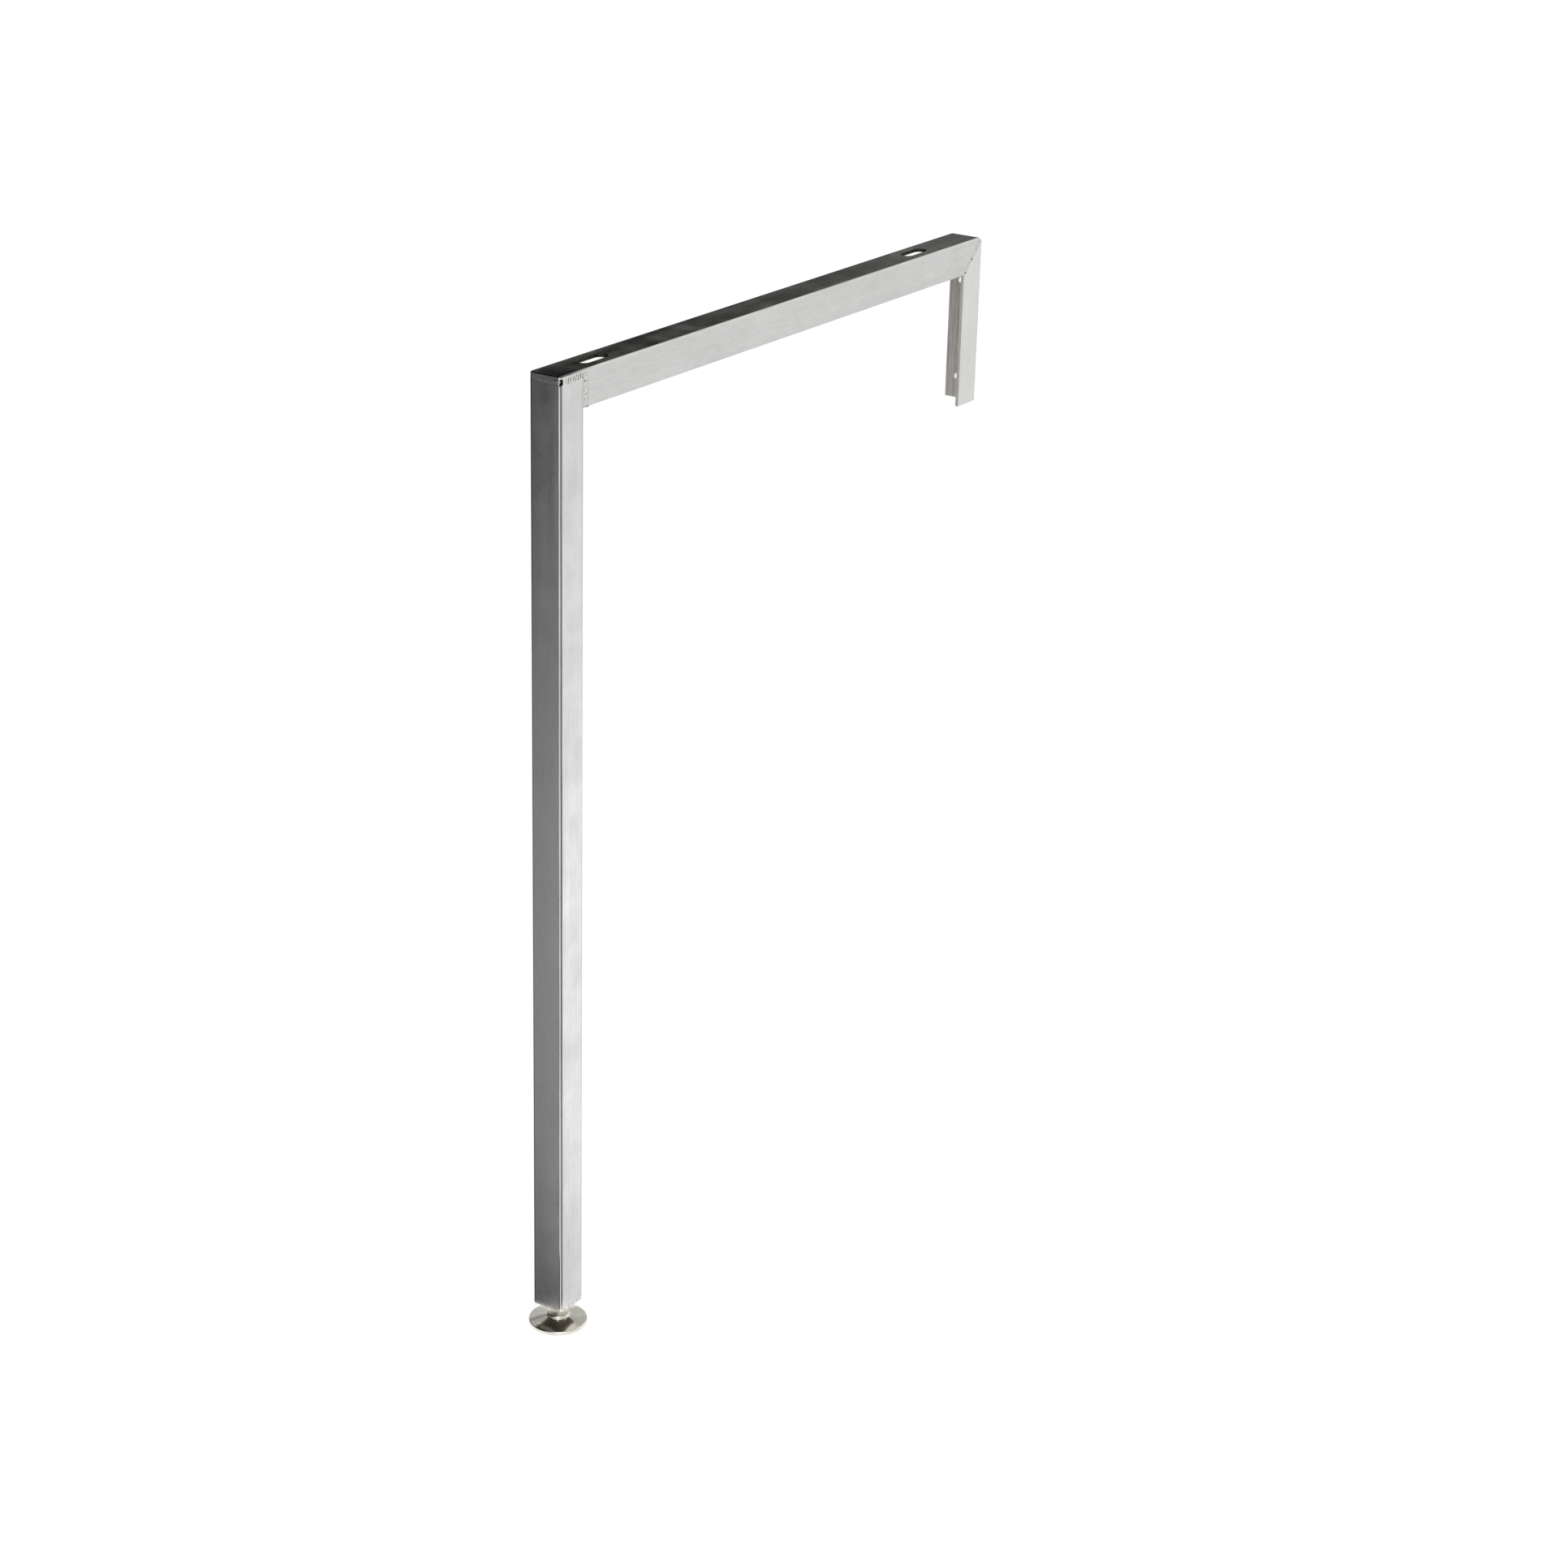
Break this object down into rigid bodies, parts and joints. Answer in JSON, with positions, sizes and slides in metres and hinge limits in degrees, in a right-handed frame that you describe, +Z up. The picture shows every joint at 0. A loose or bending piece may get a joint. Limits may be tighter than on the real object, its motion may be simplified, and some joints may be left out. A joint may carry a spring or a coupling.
{
  "type": "sink leg",
  "caption": "Gallows-shaped stainless steel leg and bearer that holds one end of a wall-side sink on a screw-adjusted foot.",
  "frame": {"origin": "on the floor under the axis of the leg, at the middle of the foot plate's underside", "axes": "+Z up along the leg, +Y back along the bearer to the wall, +X to the side that carries the bearer's side flange"},
  "size_m": [0.05, 0.64, 0.835],
  "materials": {
    "tube_steel": "brushed along its length",
    "bar_steel": "brushed along its length",
    "weld_steel": "ground weld with heat tint",
    "plated_steel": "bright nickel plated"
  },
  "bodies": {
    "frame": {"leg_tube": "tube_steel", "bearer": "bar_steel", "cap_bead": "weld_steel", "butt_bead": "weld_steel", "mitre_bead": "weld_steel", "foot_insert": "plated_steel"},
    "plate": {"foot_plate": "plated_steel"},
    "spindle": {"foot_spindle": "plated_steel"}
  },
  "joints": [
    {"name": "foot_height", "type": "slide", "parent": "plate", "child": "frame", "axis": [0, 0, 1], "range_m": [0, 0.025]},
    {"name": "spindle_turn", "type": "hinge", "parent": "plate", "child": "spindle", "pos_m": [0, 0, 0.014], "axis": [0, 0, -1], "range_deg": [0, 6000]}
  ],
  "couplings": [
    {"joint": "spindle_turn", "follows": "foot_height", "rad_per_m": 4188.8}
  ]
}
